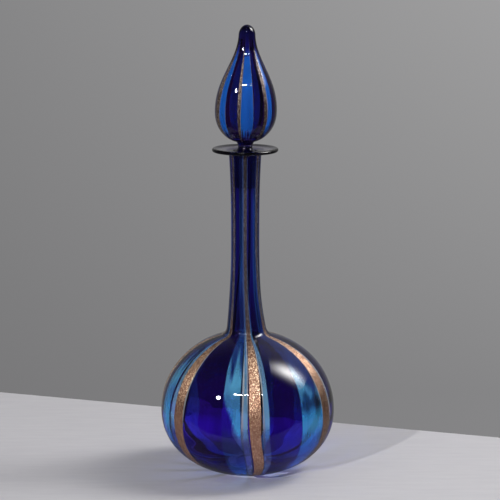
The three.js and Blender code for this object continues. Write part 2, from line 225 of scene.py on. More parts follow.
STEM = [
    (STEM_RADIUS, MOUTH_Z + 0.6), (STEM_RADIUS, MOUTH_Z + 3.0), (STEM_RADIUS, MOUTH_Z + 4.6),
    (FINIAL_ROOT_RADIUS - 0.3, FINIAL_BOTTOM_Z - 0.15),
]
STEM_START_Z = MOUTH_Z - 0.8
BELLY_PULL = 0.44
SHOULDER_PULL = 0.35
SHOULDER_SPREAD = 1.2

# The lip's rim is round between two angles and painted dark below a third, as shade. The lip's underside is
# painted dark outside one radius, as shade, and its dish has the mouth's darker colour inside another.
RIM_FIRST_DEG = -84
RIM_LAST_DEG = 92
RIM_PALE_DEG = 50
UNDER_LIP_RADIUS = 21.5
MOUTH_ZONE_RADIUS = 16

# Steps and points of the outlines. The cavity's floor has points at shares of its radius.
BULB_LOWER_STEPS = 34
BULB_UPPER_STEPS = 40
FILLET_STEPS = 8
NECK_STEPS = 40
PONTIL_STEPS = 5
UNDERSIDE_STEPS = 12
RIM_STEPS = 12
DISH_STEPS = 7
MOUTH_STEPS = 4
SEAT_POINTS = 9
FLOOR_SHARES = (0.85, 0.5, 0.2)
FINIAL_LOWER_STEPS = 16
FINIAL_UPPER_STEPS = 34
FINIAL_TIP_STEPS = 11
HOLLOW_FLOOR_STEPS = 5
BORE_POINTS = 7
PLUG_POINTS = 9
STEM_STEPS = 9

# The bands of each seventh of the turn, to the right from its cane: kind, width on the bulb and
# width on the neck in degrees. What isn't cane is fitted into the room between two canes.
UNITS = [
    [("cane", 7.6, 12), ("line", 0.8, 0.5), ("clear", 1.2, 1), ("pale", 3.4, 1.5), ("cobalt", 23, 18),
     ("aqua", 18.9, 15), ("clear", 1.0, 1.4)],
    [("cane", 10, 12), ("clear", 2, 2), ("cobalt", 23, 20), ("aqua", 14, 14), ("clear", 1.5, 1.5)],
    [("cane", 8.5, 13), ("clear", 2, 2), ("aqua", 20, 14), ("cobalt", 15, 18), ("aqua", 8, 4)],
    [("cane", 8, 13), ("clear", 1.5, 1.5), ("pale", 11, 5), ("cobalt", 22, 18), ("aqua", 10.5, 14)],
    [("cane", 8.5, 13), ("clear", 1.6, 2), ("cobalt", 18, 20), ("aqua", 12, 15), ("clear", 1.6, 2)],
    [("cane", 8.5, 13), ("clear", 1.6, 2), ("cobalt", 9, 16), ("aqua", 13, 14), ("line", 2.2, 0.5),
     ("pale", 4.6, 3)],
    [("cane", 9.2, 12), ("clear", 0.8, 0.8), ("cobalt", 29.2, 18), ("aqua", 12.6, 10), ("line", 0.9, 0.5),
     ("clear", 0.9, 1.1), ("pale", 2.6, 1), ("clear", 0.7, 2), ("cobalt", 0.9, 0.4)],
]

# How far the canes' middles are from an even spacing at the bulb, and further at the foot, and the
# powers by which the widths change from the bulb's to the neck's.
CANE_DRIFT_DEG = [5, 12.5, 15.5, 19, 29, 13, -0.5]
CANE_FOOT_DEG = [5, 0, -11, -2, 12, 0, -1]
CANE_FOOT_Z = 2
NARROWING_ABOVE = 4
NARROWING_BELOW = 2

FINIAL_UNITS = [
    [("cane", 5.5), ("clear", 0.8), ("aqua", 21.5), ("clear", 0.6), ("cobalt", 21.0)],
    [("cane", 7.5), ("clear", 1.0), ("aqua", 12.0), ("cobalt", 29)],
    [("cane", 8.5), ("clear", 1.0), ("aqua", 18.0), ("clear", 0.6), ("cobalt", 26)],
    [("cane", 8.5), ("clear", 1.0), ("aqua", 14.0), ("cobalt", 25)],
    [("cane", 8.5), ("clear", 0.8), ("aqua", 20.2), ("clear", 0.6), ("cobalt", 23)],
    [("cane", 8.5), ("clear", 1.0), ("aqua", 13.0), ("cobalt", 27)],
    [("cane", 13.5), ("clear", 1.0), ("aqua", 15.0), ("clear", 0.6), ("cobalt", 25)],
]
FINIAL_START_DEG = -12.7
FINIAL_DRIFT_DEG = [0, 1, -1, 2, -1, 1, -0.5]

# The mesh's columns in each kind of band, and the width of the change from one to the next.
COLUMNS = {"cane": 4, "clear": 1, "line": 1, "pale": 3, "cobalt": 7, "aqua": 10}
BLEND_DEG = 0.4

# Slow waves along the bands' edges: reach in degrees, pace by height, and shifts by unit and by edge.
WAVES = [(0.32, 0.061, 5.1, 1.7), (0.16, 0.173, 2.3, 3.9)]

# The inside of the blown wall wanders in and out, in two sizes, where the glass is wide.
SLOW_RIPPLE = 0.34
SLOW_WAVE = 5.6
SLOW_TWIST = 21
FINE_RIPPLE = 0.14
FINE_WAVE = 3.1
FINE_TWIST = 13
RIPPLE_RADII = (20, 40)

# Canes stand a hair proud of the glass and reach some way into it. On the finial's point they grow
# narrow and sink in, at heights above the mouth.
CANE_COLUMNS = 6
CANE_CROWN_POWER = 4
CANE_SHARP_DEG = 50
CANE_PROUD = 0.1
CANE_DEPTH = 1.0
FINIAL_CANE_PROUD = 0.08
FINIAL_CANE_SUNK = -0.35
FINIAL_CANE_DEPTH = 0.8
FINIAL_CANE_SPAN = (7, 87.5)
FINIAL_TAPER = 0.45
FINIAL_TAPER_SPAN = (55, 84)
FINIAL_SINK_SPAN = (76, 87)

# How bright the canes look, by height: light and shade painted onto them. The front, right and left canes
# are brightest where the lamps and the window's glow are mirrored in them.
CANE_PAINTED_LIGHT = [(0, 0.75), (48, 0.8), (66, 1.0), (104, 1.0), (118, 0.8), (130, 1.0)]
FRONT_PAINTED_LIGHT = [
    (0, 1.4), (48, 1.5), (62, 1.4), (74, 2.4), (98, 1.7), (104, 0.9), (112, 0.5), (118, 0.6), (130, 1.1),
    (228, 1.1), (233, 0.55),
]
RIGHT_PAINTED_LIGHT = [(0, 0.8), (50, 0.6), (70, 0.5), (84, 1.5), (96, 3.4), (106, 2.2), (114, 1.0), (130, 1.1)]
LEFT_PAINTED_LIGHT = [
    (0, 1.0), (50, 0.9), (68, 0.7), (76, 1.5), (86, 1.5), (92, 1.0), (108, 0.6), (118, 0.6), (130, 1.1),
    (228, 1.1), (233, 0.7),
]
FINIAL_PAINTED_LIGHT = [(300, 0.25), (318, 0.5), (332, 0.3)]

# The canes' tint and the strength of their glitter, by height. The copper flakes are real; their strength by
# height is partly painted glint, strongest where the lamps are mirrored.
CANE_RAMP_TOP_Z = 360
CANE_TINT = [
    (43.2, (0.9, 0.86, 0.9)), (72, (0.92, 0.86, 0.8)), (104.4, (0.92, 0.86, 0.8)), (129.6, (0.3, 0.42, 0.7)),
    (252, (0.3, 0.42, 0.7)), (266.4, (0.9, 1.0, 1.25)),
]
CANE_FLAKES_AND_GLINTS = [(54, 0.25), (75.6, 1), (104.4, 0.9), (122.4, 0.4), (252, 0.35), (266.4, 1)]
CANE_BROWN = (0.20, 0.102, 0.070)
CANE_COPPER = (1.0, 0.74, 0.52)

# A flake is bright where its own chance value is past this range, and it is turned this far at most.
FLAKE_SCALE = 2200.0
FLAKE_BRIGHT = (0.74, 0.82)
FLAKE_TURN = 0.62

# Cloudy places in the canes.
CLOUD_SCALE = 90.0
CLOUD_SPAN = (0.25, 0.75)
CLOUD_LEVELS = (0.8, 1.2)

# The glass's streaks, its tinted shadow, and the lighter shadow of its foot, by height in metres.
STREAK_SCALE = 150.0
STREAK_LENGTHEN = (1, 1, 0.1)
STREAK_SPAN = (0.3, 0.7)
STREAK_LEVELS = (0.8, 1.14)
SHADOW_TINT = (0.28, 0.28, 0.31)
SHADOW_TINT_SHARE = 0.5
FOOT_SHADOW = (1.6, 1.62, 1.68)
FOOT_SHADOW_TOP = (0.004, 0.030)

# The table top, in metres. Its far and near edges are straight: depth at the middle, and slope.
TABLE_RADIUS = 0.36
TABLE_THICKNESS = 0.022
TABLE_POINTS = 180
FAR_EDGE = (0.1694, -0.349)
NEAR_EDGE = (-0.15, -0.1)
TABLE_GRAIN = (8, 60, 60)
TABLE_GRAIN_SCALE = 3.0
TABLE_COLOURS = [(0.3, (0.515, 0.51, 0.54)), (0.7, (0.56, 0.555, 0.58))]

# The share of its light that the table loses where the glass mirrors it.
TABLE_UNMIRRORED = 0.62

# The wall's colours at its left and right, and the directions between which they change. It is painted
# lighter to the upper right and darker to the lower left, as light falls on it.
WALL_LOW = ((0.19, 0.189, 0.193), (0.235, 0.234, 0.239))
WALL_HIGH = ((0.24, 0.239, 0.243), (0.34, 0.338, 0.342))
WALL_ACROSS = (-0.119, 0.119)
WALL_UP = (-0.249, -0.0656)

# What the glass mirrors: a dim room, lighter towards the back, with a glow from behind on the right,
# by its azimuth and elevation in degrees. Last is the light that falls on what isn't glass.
ROOM = [(0.3, 0.04), (0.7, 0.10), (1.0, 0.24)]
ROOM_GLOW_FROM = (130, 46)
ROOM_GLOW_EDGE = 0.68
ROOM_GLOW = 0.66
ROOM_GLOW_POWER = 2.0
AMBIENT = (0.235, 0.231, 0.236)

# How bright the wall is through the glass, by how far up or down the glass bends the view.
BENT_VIEW = [(0.22, 0.2), (0.34, 1), (0.6, 1), (0.72, 0.2)]

# Lamps and camera, in metres.
LAMP_TARGET = Vector((0, 0, 0.09))
FAR = 4.5
WINDOW_COLOUR = (1.0, 0.985, 0.97)
CAMERA_PLACE = (0, -1.62, 0.484)
CAMERA_TARGET = Vector((0.0018, 0, 0.1804))


def smooth(x, low, high):
    """A soft step from 0 at one value to 1 at another."""
    t = min(max((x - low) / (high - low), 0.0), 1.0)
    return t * t * (3 - 2 * t)


def fade(z, base, span):
    """A soft step through a span of heights that is given from a base height."""
    return smooth(z, base + span[0], base + span[1])


def lerp(a, b, t):
    return a + (b - a) * t


def blend(a, b, t):
    """A colour between two colours."""
    return tuple(lerp(x, y, t) for x, y in zip(a, b))


def along(stops, z):
    """A colour between the stops of a list by height."""
    for (low, below), (high, above) in zip(stops, stops[1:]):
        if z < high:
            return blend(below, above, smooth(z, low, high))
    return stops[-1][1]


def bezier(points, steps):
    """Points of a Bezier curve of any degree, from the first control point up to the last."""
    out = []
    for i in range(steps + 1):
        layer = [Vector(p) for p in points]
        while len(layer) > 1:
            layer = [a.lerp(b, i / steps) for a, b in zip(layer, layer[1:])]
        out.append((layer[0].x, layer[0].y))
    return out


def inset(outline, depth):
    """The outline moved into the glass, square to itself. It runs up the outside."""
    out = []
    for i, (r, z) in enumerate(outline):
        before = outline[max(i - 1, 0)]
        after = outline[min(i + 1, len(outline) - 1)]
        dr, dz = after[0] - before[0], after[1] - before[1]
        length = math.hypot(dr, dz)
        out.append((r - dz / length * depth, z + dr / length * depth))
    return out


def zoned(points, zone):
    """Points of an outline with the zone that gives them their colour."""
    return [(r, z, zone) for r, z in points]


# Outlines

def lean(z):
    """How far the glass has strayed sideways at a height."""
    above = max(z - MOUTH_Z, 0) / FINIAL_HEIGHT
    return NECK_LEAN * smooth(z, LEAN_START_Z, LEAN_END_Z) + FINIAL_LEAN * above


def place(r, degrees, z):
    """The point at a radius, an angle from the front and a height, in metres."""
    a = math.radians(degrees)
    return ((r * math.sin(a) + lean(z)) * MM, -r * math.cos(a) * MM, z * MM)


def swell(radius, middle, reach, fullness, first, last, steps):
    """Points of a quarter of a full ellipse between two angles, the last one left out."""
    power = 2 / fullness
    angles = [lerp(first, last, i / steps) for i in range(steps)]
    return [(radius * math.cos(a) ** power, middle + reach * math.sin(a) ** power) for a in angles]


def neck_radius(z, root_z):
    """The neck has a waist and flares out from it both ways."""
    low = z < NECK_WAIST_Z
    share = (z - NECK_WAIST_Z) / ((root_z if low else NECK_TOP_Z) - NECK_WAIST_Z)
    flare = (NECK_ROOT_RADIUS if low else NECK_TOP_RADIUS) - NECK_WAIST_RADIUS
    return NECK_WAIST_RADIUS + flare * share ** NECK_FLARE_POWER


def bottle_outside():
    """Bulb and neck from the foot's edge to the underside of the lip."""
    start = BAND_START_RADIUS / BULB_RADIUS
    depth = (BULB_MIDDLE_Z - FOOT_STEP) / (1 - start ** LOWER_FULLNESS) ** (1 / LOWER_FULLNESS)
    first = math.acos(start ** (LOWER_FULLNESS / 2))
    out = swell(BULB_RADIUS, BULB_MIDDLE_Z, -depth, LOWER_FULLNESS, first, 0, BULB_LOWER_STEPS)
    rise = BULB_CROWN_Z - BULB_MIDDLE_Z

    def crown(r):
        return BULB_MIDDLE_Z + rise * (1 - (r / BULB_RADIUS) ** UPPER_FULLNESS) ** (1 / UPPER_FULLNESS)

    corner = NECK_ROOT_RADIUS + ROOT_FILLET
    last = math.acos((corner / BULB_RADIUS) ** (UPPER_FULLNESS / 2))
    out += swell(BULB_RADIUS, BULB_MIDDLE_Z, rise, UPPER_FULLNESS, 0, last, BULB_UPPER_STEPS)
    root_z = crown(NECK_ROOT_RADIUS)
    neck_z = root_z + ROOT_FILLET
    fillet = [(corner, crown(corner)), (NECK_ROOT_RADIUS, root_z), (neck_radius(neck_z, root_z), neck_z)]
    out += bezier(fillet, FILLET_STEPS)
    for i in range(1, NECK_STEPS + 1):
        z = lerp(neck_z, NECK_TOP_Z, i / NECK_STEPS)
        out.append((neck_radius(z, root_z), z))
    return out


def seat_radius(z):
    """The ground seat in the mouth is a slender cone."""
    return SEAT_RADIUS - SEAT_SLOPE * (MOUTH_Z - z)


def foot_rows():
    """The shallow pontil hollow and the ground ring around it."""
    hollow = [(0, PONTIL_DEPTH), (PONTIL_FLAT_RADIUS, PONTIL_DEPTH), (PONTIL_RADIUS, PONTIL_EDGE_Z)]
    ring = [(PONTIL_RADIUS + GROUND_EDGE, 0), (FOOT_RADIUS - FOOT_ROUNDING, 0), (FOOT_RADIUS, FOOT_EDGE_Z)]
    return zoned(bezier(hollow, PONTIL_STEPS) + ring, "foot")


def lip_rows():
    """The lip from the neck's top under, round and over its rim, and the mouth's edge."""
    # The underside outside a radius and the rim below an angle are painted dark as shade.
    rows = [(r, z, "under lip" if r < UNDER_LIP_RADIUS else "low rim")
            for r, z in bezier(LIP_UNDERSIDE, UNDERSIDE_STEPS)]
    for i in range(RIM_STEPS + 1):
        degrees = lerp(RIM_FIRST_DEG, RIM_LAST_DEG, i / RIM_STEPS)
        a = math.radians(degrees)
        rows.append((LIP_RIM_CENTRE + LIP_RIM * math.cos(a), LIP_RIM_Z + LIP_RIM * math.sin(a),
                     "lip" if degrees > RIM_PALE_DEG else "low rim"))
    rows += [(r, z, "lip" if r > MOUTH_ZONE_RADIUS else "mouth") for r, z in bezier(LIP_DISH, DISH_STEPS)]
    return rows + zoned(bezier([*MOUTH_EDGE, (seat_radius(SEAT_EDGE_Z), SEAT_EDGE_Z)], MOUTH_STEPS), "mouth")


def bottle_rows():
    """The whole closed outline of the bottle as (radius, height, zone)."""
    outside = bottle_outside()
    seat = [(seat_radius(z), z) for z in np.linspace(SEAT_TOP_Z, SEAT_END_Z, SEAT_POINTS)]
    cavity = [p for p in inset(outside, WALL) if BASE_THICKNESS + CAVITY_EDGE < p[1] < CAVITY_TOP_Z]
    floor = [(cavity[0][0] * share, BASE_THICKNESS) for share in FLOOR_SHARES]
    inside = [*seat, *reversed(cavity), *floor, (0, BASE_THICKNESS)]
    return foot_rows() + zoned(outside, "bands") + lip_rows() + zoned(inside, "inside")


def finial_outside():
    """The finial from the stem to its tip."""
    depth = FINIAL_BELLY_Z - FINIAL_BOTTOM_Z
    first = math.acos((FINIAL_ROOT_RADIUS / FINIAL_RADIUS) ** (FINIAL_FULLNESS / 2))
    out = swell(FINIAL_RADIUS, FINIAL_BELLY_Z, -depth, FINIAL_FULLNESS, first, 0, FINIAL_LOWER_STEPS)
    climb = FINIAL_SHOULDER_Z - FINIAL_BELLY_Z
    upper = [(FINIAL_RADIUS, FINIAL_BELLY_Z), (FINIAL_RADIUS, FINIAL_BELLY_Z + climb * BELLY_PULL),
             (FINIAL_SHOULDER_RADIUS * SHOULDER_SPREAD, FINIAL_SHOULDER_Z - climb * SHOULDER_PULL),
             (FINIAL_SHOULDER_RADIUS, FINIAL_SHOULDER_Z)]
    return out + bezier(upper, FINIAL_UPPER_STEPS)


def plug_radius(z):
    """The plug is the same cone, a clearance smaller."""
    return seat_radius(z) - PLUG_CLEARANCE


def hollow_points():
    """The stopper's hollow from its top in the finial down to the plug's end."""
    low, high = FINIAL_HOLLOW_WALL_SPAN
    wall = [p for p in inset(finial_outside(), FINIAL_WALL) if low < p[1] < high]
    bore = [(PLUG_BORE, z) for z in np.linspace(*BORE_SPAN, BORE_POINTS)]
    return [*FINIAL_HOLLOW_TOP, *reversed(wall), *bezier(FINIAL_HOLLOW_FLOOR, HOLLOW_FLOOR_STEPS), *bore]


def plug_points():
    """The plug from its bore's end outwards, up its ground side and up the stem."""
    chamfer_z = PLUG_END_Z + PLUG_CHAMFER
    end = [(PLUG_BORE, PLUG_END_Z), (plug_radius(PLUG_END_Z) - PLUG_CHAMFER, PLUG_END_Z),
           (plug_radius(chamfer_z), chamfer_z)]
    side = [(plug_radius(z), z) for z in np.linspace(*PLUG_SIDE_SPAN, PLUG_POINTS)]
    return [*end, *side, *bezier([(plug_radius(STEM_START_Z), STEM_START_Z), *STEM], STEM_STEPS)]


def stopper_rows():
    """The whole closed outline of the stopper: down its hollow, under the plug and up the outside."""
    rise = FINIAL_TOP_Z - FINIAL_SHOULDER_Z
    angles = [math.pi / 2 * i / FINIAL_TIP_STEPS for i in range(1, FINIAL_TIP_STEPS)]
    tip = [(FINIAL_SHOULDER_RADIUS * math.cos(a), FINIAL_SHOULDER_Z + rise * math.sin(a)) for a in angles]
    outside = [*finial_outside(), *tip, (0, FINIAL_TOP_Z)]
    return zoned(hollow_points(), "inside") + zoned(plug_points(), "plug") + zoned(outside, "bands")


# Bands

def laid(unit, drift, share):
    """The middle of a cane in degrees. A unit past the last is the first again, a turn on."""
    return 360 / len(drift) * unit + drift[unit % len(drift)] * share


def bottle_edges(unit, r, z):
    """Where the bands of one unit begin and end, in degrees."""
    share = (BULB_RADIUS - max(r, NECK_WAIST_RADIUS)) / (BULB_RADIUS - NECK_WAIST_RADIUS)
    drawn = share ** (NARROWING_ABOVE if z > BULB_MIDDLE_Z else NARROWING_BELOW)
    swelled = 1 - smooth(z, BULB_CROWN_Z, NECK_WAIST_Z)
    low = 1 - smooth(z, CANE_FOOT_Z, BULB_MIDDLE_Z)
    centres = [laid(n, CANE_DRIFT_DEG, swelled) + CANE_FOOT_DEG[n % len(UNITS)] * low
               for n in (unit, unit + 1)]
    return fitted(UNITS, unit, centres, lambda band: lerp(band[1], band[2], drawn), z, 0)


def finial_edges(unit, r, z):
    """Where the bands of one unit of the finial begin and end, in degrees."""
    centres = [FINIAL_START_DEG + laid(n, FINIAL_DRIFT_DEG, 1) for n in (unit, unit + 1)]
    return fitted(FINIAL_UNITS, unit, centres, lambda band: band[1], z, len(UNITS))


def fitted(units, unit, centres, width, z, seed):
    """Edges of a unit's bands, with a slow waver along them."""
    following = (unit + 1) % len(units)
    bands = units[unit]
    start = centres[0] - width(bands[0]) / 2
    edges = [start, start + width(bands[0])]
    room = centres[1] - width(units[following][0]) / 2 - edges[1]
    total = sum(width(b) for b in bands[1:])
    for b in bands[1:]:
        edges.append(edges[-1] + width(b) * room / total)

    def waver(n, k):
        return sum(reach * math.sin(z * pace + by_unit * n + by_edge * k)
                   for reach, pace, by_unit, by_edge in WAVES)

    moved = [e + waver(seed + unit, k) for k, e in enumerate(edges[:-1])]
    return moved + [edges[-1] + waver(seed + following, 0)]


def chance(*keys):
    """A number from 0 to 1 that is always the same for the same keys."""
    factors, scale = (12.9898, 78.233, 37.719), 43758.5453
    value = math.sin(sum(k * f for k, f in zip(keys, factors))) * scale
    return value - math.floor(value)


def ripple(degrees, z):
    """How far the inside of the blown wall wanders in and out."""
    a = math.radians(degrees)
    slow = math.sin(z / SLOW_WAVE + 2 * math.sin(a + 0.7)) * math.sin(3 * a + z / SLOW_TWIST)
    fine = math.sin(z / FINE_WAVE + 3 * math.sin(2 * a)) * math.sin(7 * a - z / FINE_TWIST)
    return SLOW_RIPPLE * slow + FINE_RIPPLE * fine


def add(name, mesh):
    """The mesh as an object of the scene."""
    piece = bpy.data.objects.new(name, mesh)
    bpy.context.scene.collection.objects.link(piece)
    return piece


def grid_lines(units):
    """The lines of a shell that run along its bands, in order around it.

    Where two bands meet there are two lines close together, and the colour changes between them. A
    line has its unit and band, its share of the way across, its shift in degrees, and the unit, band
    and share that its colour comes from.
    """
    lines = []
    for u, bands in enumerate(units):
        for b, (kind, *_) in enumerate(bands):
            before = (u, b - 1) if b else (u - 1, len(units[u - 1]) - 1)
            lines.append((u, b, 0, -BLEND_DEG / 2, before, 1))
            n = COLUMNS[kind]
            lines += [(u, b, k / n, BLEND_DEG / 2 if k == 0 else 0, (u, b), k / n) for k in range(n)]
    return lines


def grid(name, rows, units, edges_at, colour_at):
    """A closed shell turned round the Z axis, with grid lines along the bands and a colour at each point."""
    lines = grid_lines(units)
    verts, colours, faces, rings = [], [], [], []
    for r, z, zone in rows:
        if r == 0:
            rings.append([len(verts)])
            verts.append(place(0, 0, z))
            colours.append(colour_at(zone, "cobalt", 0, 0, z))
            continue
        edges = [edges_at(u, r, z) for u in range(len(units))]
        rings.append(range(len(verts), len(verts) + len(lines)))
        for u, b, share, shift, (cu, cb), across in lines:
            degrees = lerp(edges[u][b], edges[u][b + 1], share) + shift
            wavy = r + ripple(degrees, z) * smooth(r, *RIPPLE_RADII) if zone == "inside" else r
            verts.append(place(wavy, degrees, z))
            colours.append(colour_at(zone, units[cu][cb][0], cu % len(units), across, z))
    for low, high in zip(rings, rings[1:]):
        n = max(len(low), len(high))
        for k in range(n):
            m = (k + 1) % n
            if len(low) == 1:
                faces.append((low[0], high[m], high[k]))
            elif len(high) == 1:
                faces.append((low[k], low[m], high[0]))
            else:
                faces.append((low[k], low[m], high[m], high[k]))
    mesh = bpy.data.meshes.new(name)
    mesh.from_pydata(verts, [], faces)
    attribute = mesh.color_attributes.new("glass", "FLOAT_COLOR", "POINT")
    attribute.data.foreach_set("color", [c for rgba in colours for c in rgba])
    mesh.shade_smooth()
    return add(name, mesh)


def ribbon(name, outline, edges_at, proud, deep, painted_light):
    """A closed strip of cane, let into the outside of the glass and crowned by a hair, with its painted light
    by height.
    """
    verts, faces, bright = [], [], []
    shares = [k / CANE_COLUMNS for k in range(CANE_COLUMNS + 1)]
    loop = 2 * len(shares)
    for (r, z), (ri, zi) in zip(outline, inset(outline, deep)):
        start, end = edges_at(r, z)
        crown = [proud(z) * (1 - (2 * s - 1) ** CANE_CROWN_POWER) for s in shares]
        verts += [place(r + rise, lerp(start, end, s), z) for rise, s in zip(crown, shares)]
        verts += [place(ri, lerp(end, start, s), zi) for s in shares]
        bright += [float(np.interp(z, *zip(*painted_light)))] * loop
    for i in range(0, len(outline) * loop - loop, loop):
        for k in range(loop):
            m = (k + 1) % loop
            faces.append((i + k, i + m, i + loop + m, i + loop + k))
    faces.append(tuple(reversed(range(loop))))
    faces.append(tuple(range(len(verts) - loop, len(verts))))
    mesh = bpy.data.meshes.new(name)
    mesh.from_pydata(verts, [], faces)
    # The cane's painted light, by height.
    mesh.attributes.new("painted_light", "FLOAT", "POINT").data.foreach_set("value", bright)
    mesh.shade_smooth()
    mesh.set_sharp_from_angle(angle=math.radians(CANE_SHARP_DEG))
    return add(name, mesh)


# Nodes of the materials

def material(name):
    """A new material, its node tree and its main shader."""
    made = bpy.data.materials.new(name)
    made.use_nodes = True
    tree = made.node_tree
    return made, tree, tree.nodes["Principled BSDF"]


def node(tree, kind, **values):
    """A new node with some of its inputs and settings given by name."""
    made = tree.nodes.new(kind)
    for key, value in values.items():
        if key in made.inputs:
            made.inputs[key].default_value = value
        else:
            setattr(made, key, value)
    return made


def feed(tree, socket, value):
    """Links a socket to an output, or gives it a plain value."""
    if isinstance(value, bpy.types.NodeSocket):
        tree.links.new(value, socket)
    else:
        socket.default_value = value


def maths(tree, operation, a, b):
    """A Math node on two values or outputs, by its output."""
    made = node(tree, "ShaderNodeMath", operation=operation)
    for socket, value in zip(made.inputs, (a, b)):
        feed(tree, socket, value)
    return made.outputs["Value"]


def vectors(tree, operation, *values):
    """A Vector Math node on vectors or outputs, by its outputs."""
    made = node(tree, "ShaderNodeVectorMath", operation=operation)
    for socket, value in zip(made.inputs, values):
        feed(tree, socket, value)
    return made.outputs


def mixed(tree, factor, a, b, kind="MIX"):
    """A colour mix of two colours or outputs, by its output."""
    made = node(tree, "ShaderNodeMix", data_type="RGBA", blend_type=kind)
    inputs = [socket for socket in made.inputs if socket.enabled]
    for socket, value in zip(inputs, (factor, a, b)):
        feed(tree, socket, (*value, 1) if isinstance(value, tuple) else value)
    return next(socket for socket in made.outputs if socket.enabled)


def ramped(tree, value, stops):
    """A colour ramp over a value, by its output. A stop's colour may be one grey level."""
    ramp = node(tree, "ShaderNodeValToRGB")
    elements = ramp.color_ramp.elements
    while len(elements) < len(stops):
        elements.new(0.5)
    for element, (position, colour) in zip(elements, stops):
        element.position = position
        element.color = (*(colour if isinstance(colour, tuple) else (colour,) * 3), 1)
    tree.links.new(value, ramp.inputs["Fac"])
    return ramp.outputs["Color"]


def ranged(tree, value, span, result=(0.0, 1.0)):
    """The value's way through one span, as its way through another."""
    made = node(tree, "ShaderNodeMapRange")
    for key, number in zip(("From Min", "From Max", "To Min", "To Max"), (*span, *result)):
        made.inputs[key].default_value = number
    tree.links.new(value, made.inputs["Value"])
    return made.outputs["Result"]


def stretched(tree, scale=(1, 1, 1)):
    """The object's own coordinates, stretched, by their output."""
    where = node(tree, "ShaderNodeTexCoord")
    made = node(tree, "ShaderNodeMapping")
    made.inputs["Scale"].default_value = scale
    tree.links.new(where.outputs["Object"], made.inputs["Vector"])
    return made.outputs["Vector"]


def parts(tree, vector):
    """The X, Y and Z outputs of a vector."""
    made = node(tree, "ShaderNodeSeparateXYZ")
    tree.links.new(vector, made.inputs["Vector"])
    return made.outputs


def noise(tree, vector, scale, detail):
    """A noise over a vector, by its output."""
    made = node(tree, "ShaderNodeTexNoise", Scale=scale, Detail=detail, Roughness=0.6)
    tree.links.new(vector, made.inputs["Vector"])
    return made.outputs["Fac"]


def show(tree, factor, first, second):
    """Makes the surface a mix of two shaders."""
    mix = node(tree, "ShaderNodeMixShader")
    for socket, value in zip(mix.inputs, (factor, first, second)):
        tree.links.new(value, socket)
    tree.links.new(mix.outputs["Shader"], tree.nodes["Material Output"].inputs["Surface"])


# Materials

def glass_material(name):
    """Glass tinted and clouded by the bands, whose colours carry painted light and shade, with faint
    drawn-out streaks and a tinted shadow.
    """
    made, tree, shader = material(name)
    shader.inputs["Roughness"].default_value = 0.012
    shader.inputs["IOR"].default_value = 1.5
    bands = node(tree, "ShaderNodeAttribute", attribute_name="glass")
    streak = noise(tree, stretched(tree, STREAK_LENGTHEN), STREAK_SCALE, detail=3.0)
    streak = ranged(tree, streak, STREAK_SPAN, STREAK_LEVELS)
    tint = mixed(tree, 1.0, bands.outputs["Color"], streak, "MULTIPLY")
    tree.links.new(tint, shader.inputs["Base Color"])
    clear = maths(tree, "SUBTRACT", 1.0, bands.outputs["Alpha"])
    tree.links.new(clear, shader.inputs["Transmission Weight"])
    height = parts(tree, stretched(tree))["Z"]
    foot = ranged(tree, height, FOOT_SHADOW_TOP, (1.0, 0.0))
    shade = mixed(tree, foot, mixed(tree, SHADOW_TINT_SHARE, tint, SHADOW_TINT), FOOT_SHADOW)
    through = node(tree, "ShaderNodeBsdfTransparent")
    tree.links.new(shade, through.inputs["Color"])
    path = node(tree, "ShaderNodeLightPath")
    show(tree, path.outputs["Is Shadow Ray"], shader.outputs["BSDF"], through.outputs["BSDF"])
    return made


def aventurine_material(name):
    """Opaque brown glass with copper flakes in it that are turned all ways, duller on the neck, with light
    and glints painted into its colour.
    """
    made, tree, shader = material(name)
    where = stretched(tree)
    rise = ranged(tree, parts(tree, where)["Z"], (0.0, CANE_RAMP_TOP_Z * MM))
    by_height, flakes_and_glints = (ramped(tree, rise, [(z / CANE_RAMP_TOP_Z, level) for z, level in stops])
                          for stops in (CANE_TINT, CANE_FLAKES_AND_GLINTS))
    flakes = node(tree, "ShaderNodeTexVoronoi", Scale=FLAKE_SCALE)
    tree.links.new(where, flakes.inputs["Vector"])
    split = node(tree, "ShaderNodeSeparateColor")
    tree.links.new(flakes.outputs["Color"], split.inputs["Color"])
    # Copper flakes, with painted glints by height.
    bright = maths(tree, "MULTIPLY", ranged(tree, split.outputs["Red"], FLAKE_BRIGHT), flakes_and_glints)
    cloud = ranged(tree, noise(tree, where, CLOUD_SCALE, detail=4.0), CLOUD_SPAN, CLOUD_LEVELS)
    painted_light = node(tree, "ShaderNodeAttribute", attribute_name="painted_light")
    body = mixed(tree, bright, CANE_BROWN, CANE_COPPER)
    # The painted light and shade multiply the colour.
    for level in (cloud, by_height, painted_light.outputs["Fac"]):
        body = mixed(tree, 1.0, body, level, "MULTIPLY")
    tree.links.new(body, shader.inputs["Base Color"])
    surface = node(tree, "ShaderNodeNewGeometry")
    turn = vectors(tree, "SUBTRACT", flakes.outputs["Color"], (0.5,) * 3)["Vector"]
    for level in ((FLAKE_TURN,) * 3, flakes_and_glints):
        turn = vectors(tree, "MULTIPLY", turn, level)["Vector"]
    turn = vectors(tree, "ADD", surface.outputs["Normal"], turn)["Vector"]
    tree.links.new(vectors(tree, "NORMALIZE", turn)["Vector"], shader.inputs["Normal"])
    shader.inputs["Metallic"].default_value = 0.25
    shader.inputs["Roughness"].default_value = 0.24
    shader.inputs["Specular IOR Level"].default_value = 0.45
    return made


